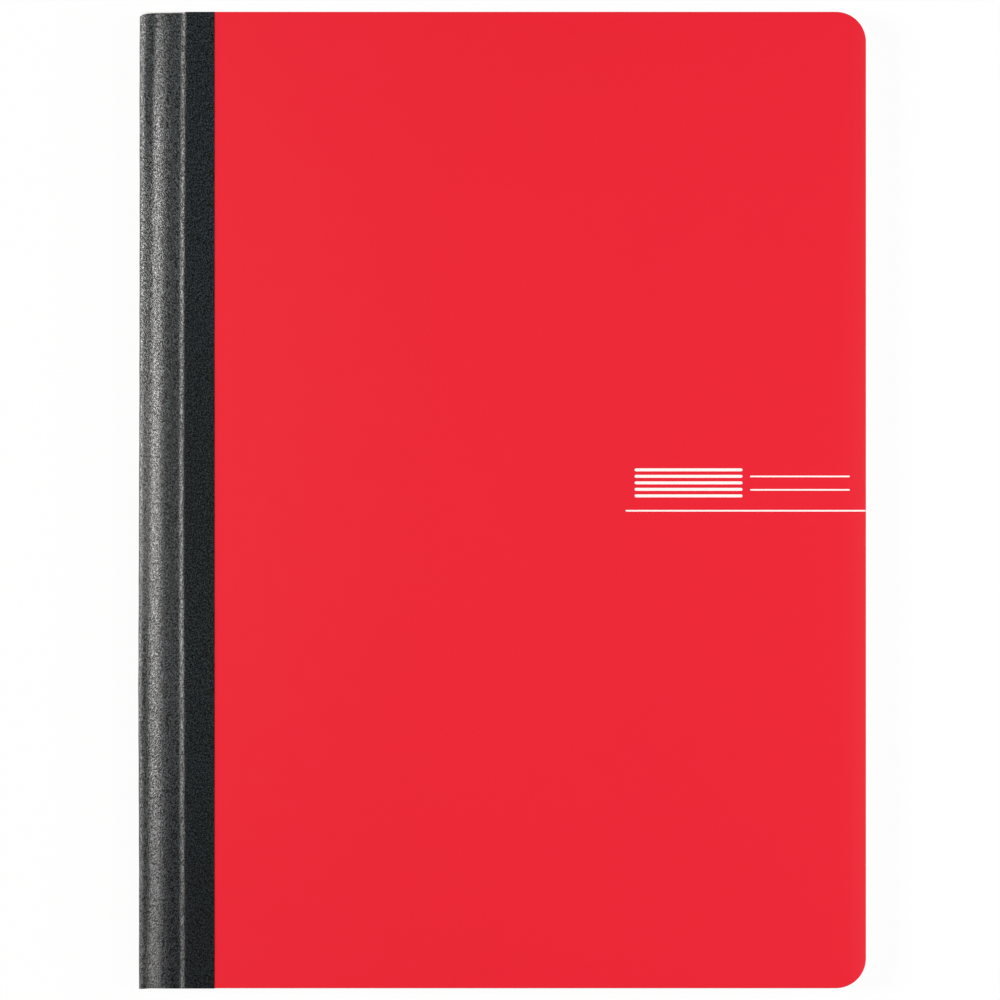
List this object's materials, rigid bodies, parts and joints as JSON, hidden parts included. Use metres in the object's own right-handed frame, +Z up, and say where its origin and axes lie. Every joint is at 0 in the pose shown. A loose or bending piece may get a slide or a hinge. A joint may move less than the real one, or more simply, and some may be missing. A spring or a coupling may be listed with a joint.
{
  "type": "composition notebook",
  "caption": "Sewn notebook with a stiff red cover, rounded fore-edge corners and a black tape folded round its spine; both covers swing open on the tape.",
  "frame": {"origin": "on the table under the middle of the closed book, which lies on its back cover", "axes": "+X from the spine to the fore-edge, +Y from the tail to the head, +Z up through the front cover"},
  "size_m": [0.1842, 0.2476, 0.0102],
  "materials": {
    "page_paper": "matte, uncoated",
    "thread_white": "twisted cotton",
    "tape_black": "coated book cloth with a fine grain, satin",
    "cover_red": "printed and laminated, satin",
    "print_white": "white ink under the lacquer"
  },
  "bodies": {
    "block": {"page_block": "page_paper", "sewing_thread": "thread_white", "spine_tape": "tape_black"},
    "front_cover": {"front_board": "cover_red", "front_pastedown": "page_paper", "front_tape_wing": "tape_black", "cover_print": "print_white"},
    "back_cover": {"back_board": "cover_red", "back_pastedown": "page_paper", "back_tape_wing": "tape_black"}
  },
  "joints": [
    {"name": "front_cover_hinge", "type": "hinge", "parent": "block", "child": "front_cover", "pos_m": [-0.08067, 0, 0.01024], "axis": [0, -1, 0], "range_deg": [0, 180]},
    {"name": "back_cover_hinge", "type": "hinge", "parent": "block", "child": "back_cover", "pos_m": [-0.08067, 0, 0], "axis": [0, 1, 0], "range_deg": [0, 180]}
  ]
}
